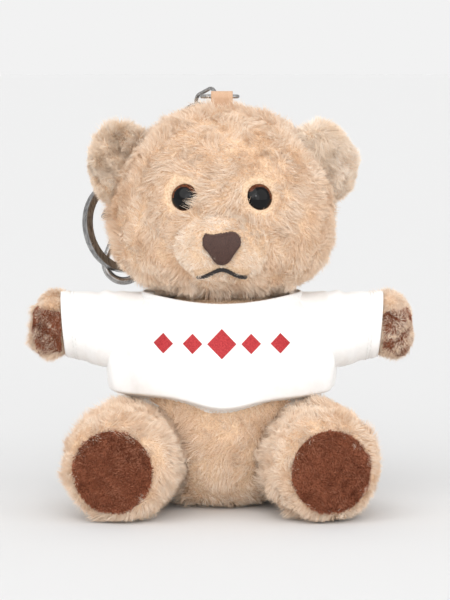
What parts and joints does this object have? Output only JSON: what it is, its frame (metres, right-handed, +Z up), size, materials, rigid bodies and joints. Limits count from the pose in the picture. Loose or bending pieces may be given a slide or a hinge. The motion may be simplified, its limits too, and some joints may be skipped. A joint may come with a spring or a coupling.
{
  "type": "plush keychain",
  "caption": "Small seated plush bear in a plain knit T-shirt, hung by a ribbon tab from a wire chain with a trigger clasp and a split ring.",
  "frame": {"origin": "on the seat plane, under the middle of the bear's body", "axes": "+Z up the seated bear, -Y the way it faces, +X to its left-hand viewer's right"},
  "size_m": [0.0982, 0.0695, 0.1082],
  "materials": {
    "ring_steel": "polished",
    "plated_metal": "polished",
    "beige_pile": "long plush pile",
    "pale_pile": "short plush pile",
    "fibre_filling": "loose fibre",
    "brown_pile": "short pile",
    "print_ink": "flat ink",
    "white_knit": "matte knit",
    "nose_felt": "matte",
    "black_thread": "satin thread",
    "peach_ribbon": "ribbed ribbon",
    "eye_gloss": "glossy",
    "eye_plastic": "matte"
  },
  "bodies": {
    "body": {"body_skin": "beige_pile", "body_stuffing": "fibre_filling", "shirt_body": "white_knit", "shirt_hem": "white_knit", "shirt_collar": "white_knit", "shirt_print": "print_ink"},
    "head": {"head_skin": "beige_pile", "head_stuffing": "fibre_filling", "muzzle": "pale_pile", "nose": "nose_felt", "mouth_stitch": "black_thread", "hang_tab": "peach_ribbon", "eye_lens_l": "eye_gloss", "eye_shank_l": "eye_plastic", "eye_washer_l": "eye_plastic", "ear_l": "beige_pile", "eye_lens_r": "eye_gloss", "eye_shank_r": "eye_plastic", "eye_washer_r": "eye_plastic", "ear_r": "beige_pile"},
    "arm_l": {"arm_skin_l": "beige_pile", "arm_stuffing_l": "fibre_filling", "shirt_sleeve_l": "white_knit", "paw_pad_l": "brown_pile"},
    "leg_l": {"leg_skin_l": "beige_pile", "leg_stuffing_l": "fibre_filling", "foot_pad_l": "brown_pile"},
    "arm_r": {"arm_skin_r": "beige_pile", "arm_stuffing_r": "fibre_filling", "shirt_sleeve_r": "white_knit", "paw_pad_r": "brown_pile"},
    "leg_r": {"leg_skin_r": "beige_pile", "leg_stuffing_r": "fibre_filling", "foot_pad_r": "brown_pile"},
    "link_1": {"chain_link_1": "plated_metal"},
    "link_2": {"chain_link_2": "plated_metal"},
    "link_3": {"chain_link_3": "plated_metal"},
    "link_4": {"chain_link_4": "plated_metal"},
    "link_5": {"chain_link_5": "plated_metal"},
    "swivel": {"swivel_eye": "plated_metal"},
    "clasp": {"clasp_body": "plated_metal", "gate_pin": "plated_metal", "gate_spring": "plated_metal"},
    "gate": {"clasp_gate": "plated_metal"},
    "ring": {"split_ring": "ring_steel"}
  },
  "joints": [
    {"name": "neck_turn", "type": "hinge", "parent": "body", "child": "head", "pos_m": [0, 0, 0.0544], "axis": [0, 0, 1], "range_deg": [-8, 8], "stiffness_Nm_per_rad": 0.03},
    {"name": "shoulder_l", "type": "hinge", "parent": "body", "child": "arm_l", "pos_m": [-0.0185, 0, 0.0446], "axis": [0, 1, 0], "range_deg": [-10, 14], "stiffness_Nm_per_rad": 0.02},
    {"name": "shoulder_r", "type": "hinge", "parent": "body", "child": "arm_r", "pos_m": [0.0185, 0, 0.0446], "axis": [0, -1, 0], "range_deg": [-10, 14], "stiffness_Nm_per_rad": 0.02},
    {"name": "hip_l", "type": "hinge", "parent": "body", "child": "leg_l", "pos_m": [-0.0216, -0.002, 0.0135], "axis": [0, 0, -1], "range_deg": [0, 10], "stiffness_Nm_per_rad": 0.03},
    {"name": "hip_r", "type": "hinge", "parent": "body", "child": "leg_r", "pos_m": [0.0216, -0.002, 0.0135], "axis": [0, 0, 1], "range_deg": [0, 10], "stiffness_Nm_per_rad": 0.03},
    {"name": "tab_swing", "type": "hinge", "parent": "head", "child": "link_1", "pos_m": [0, 0, 0.10546], "axis": [1, 0, 0], "range_deg": [0, 40]},
    {"name": "link_swing_2", "type": "hinge", "parent": "link_1", "child": "link_2", "pos_m": [-0.0024, 0.0046, 0.10546], "axis": [1, 0, 0], "range_deg": [0, 15]},
    {"name": "link_swing_3", "type": "hinge", "parent": "link_2", "child": "link_3", "pos_m": [-0.00612, 0.01005, 0.10337], "axis": [0.8261, 0.5635, 0], "range_deg": [0, 15]},
    {"name": "link_swing_4", "type": "hinge", "parent": "link_3", "child": "link_4", "pos_m": [-0.01063, 0.01666, 0.09844], "axis": [0.8261, 0.5635, 0], "range_deg": [0, 15]},
    {"name": "link_swing_5", "type": "hinge", "parent": "link_4", "child": "link_5", "pos_m": [-0.01345, 0.0208, 0.09333], "axis": [0.8261, 0.5635, 0], "range_deg": [0, 15]},
    {"name": "swivel_swing", "type": "hinge", "parent": "link_5", "child": "swivel", "pos_m": [-0.01613, 0.02473, 0.08522], "axis": [0.8261, 0.5635, 0], "range_deg": [0, 15]},
    {"name": "swivel_turn", "type": "hinge", "parent": "swivel", "child": "clasp", "pos_m": [-0.02622, 0.01967, 0.06098], "axis": [0.3772, 0.1891, 0.9066], "range_deg": [-6, 40]},
    {"name": "gate_hinge", "type": "hinge", "parent": "clasp", "child": "gate", "pos_m": [-0.0265, 0.02156, 0.07305], "axis": [0.1178, -0.9808, 0.1556], "range_deg": [0, 14], "stiffness_Nm_per_rad": 0.004, "springref_deg": -11.46},
    {"name": "ring_swing", "type": "hinge", "parent": "clasp", "child": "ring", "pos_m": [-0.02684, 0.01937, 0.0595], "axis": [-0.0039, 0.2212, 0.9752], "range_deg": [-4, 4]}
  ]
}
